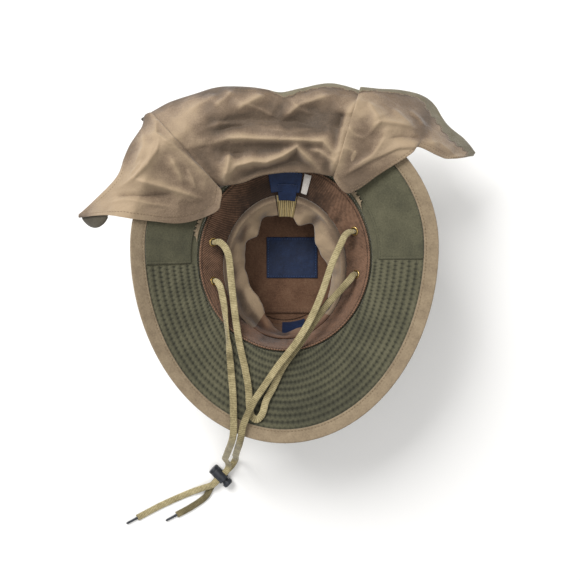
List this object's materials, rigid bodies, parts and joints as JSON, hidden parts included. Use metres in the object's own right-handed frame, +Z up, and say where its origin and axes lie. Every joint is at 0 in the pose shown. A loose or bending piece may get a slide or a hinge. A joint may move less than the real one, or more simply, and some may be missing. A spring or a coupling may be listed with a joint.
{
  "type": "wide-brim sun hat with neck cape",
  "caption": "Soft cloth sun hat lying upside down, with a wide quilted brim, taped edge, sweatband, folded-back neck cape and a flat chin cord with a sprung lock.",
  "frame": {"origin": "middle of the crown tip's flat outer face, on the surface the hat lies on", "axes": "+Z up, out of the head opening, since the hat lies upside down; +Y to the rear of the hat; +X to the right when the rear is at the top"},
  "size_m": [0.394, 0.4602, 0.1367],
  "materials": {
    "olive_nylon": "matt woven nylon",
    "tan_nylon": "matt woven nylon, lighter lining side",
    "tan_tape": "matt binding tape",
    "brown_twill": "matt twill",
    "brown_lining": "matt plain weave",
    "navy_woven": "dense woven label cloth",
    "white_tape": "matt satin tape",
    "ribbed_elastic": "matt ribbed elastic",
    "khaki_braid": "matt flat braid",
    "black_plastic": "fine satin moulding",
    "brass": "slightly dulled"
  },
  "bodies": {
    "hat": {"crown": "olive_nylon", "brim": "olive_nylon", "brim_binding": "tan_tape", "cape_pocket": "olive_nylon", "sweatband": "brown_twill", "eyelet_left_rear": "brass", "eyelet_left_front": "brass", "eyelet_right_rear": "brass", "eyelet_right_front": "brass", "tip_pocket": "brown_lining", "main_label": "navy_woven", "care_label": "navy_woven", "rear_label": "navy_woven", "folded_label": "navy_woven", "white_tag": "white_tape", "fit_band": "tan_nylon", "fit_elastic": "ribbed_elastic", "neck_cape": "tan_nylon", "cord_lock_barrel": "black_plastic", "chin_cord_left": "khaki_braid", "chin_cord_middle": "khaki_braid", "chin_cord_right": "khaki_braid", "chin_cord_behind_left": "khaki_braid", "chin_cord_behind_right": "khaki_braid", "aglet_left": "black_plastic", "aglet_right": "black_plastic"},
    "lock_button": {"cord_lock_button": "black_plastic"}
  },
  "joints": [
    {"name": "cord_lock_press", "type": "slide", "parent": "hat", "child": "lock_button", "axis": [-0.7071, 0.7071, 0], "range_m": [0, 0.0026], "stiffness_N_per_m": 400, "springref_m": -0.003}
  ]
}
